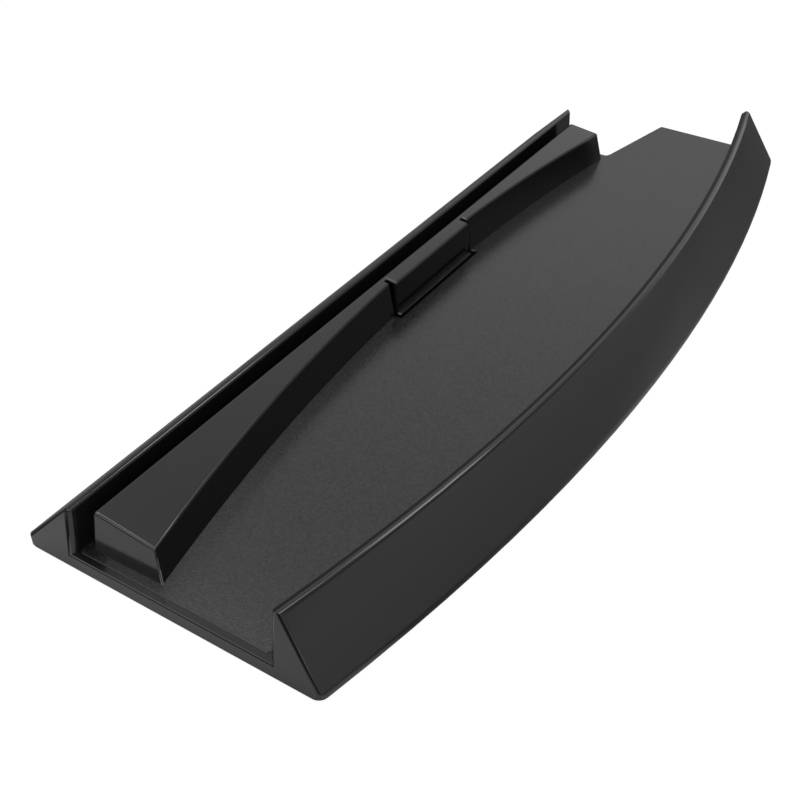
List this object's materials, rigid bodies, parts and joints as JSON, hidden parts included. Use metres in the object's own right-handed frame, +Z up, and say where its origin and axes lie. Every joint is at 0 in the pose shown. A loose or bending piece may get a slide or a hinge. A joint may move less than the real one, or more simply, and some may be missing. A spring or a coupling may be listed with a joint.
{
  "type": "console stand",
  "caption": "Flat moulded cradle that holds a slim game console upright, between a straight low wall with flared blocks and a bowed front wall.",
  "frame": {"origin": "centre of the bounding box's underside, on the surface the feet stand on", "axes": "+Y along the stand towards its notched far end, +Z up, +X from the straight wall towards the bowed wall"},
  "size_m": [0.0994, 0.285, 0.0187],
  "materials": {
    "body": "black moulded plastic, fine grain on the floor, smooth walls",
    "foot": "dark matte rubber"
  },
  "bodies": {
    "root": {"stand_body": "body", "foot_near_left": "foot", "foot_near_right": "foot", "foot_far_left": "foot", "foot_far_right": "foot"}
  },
  "joints": []
}
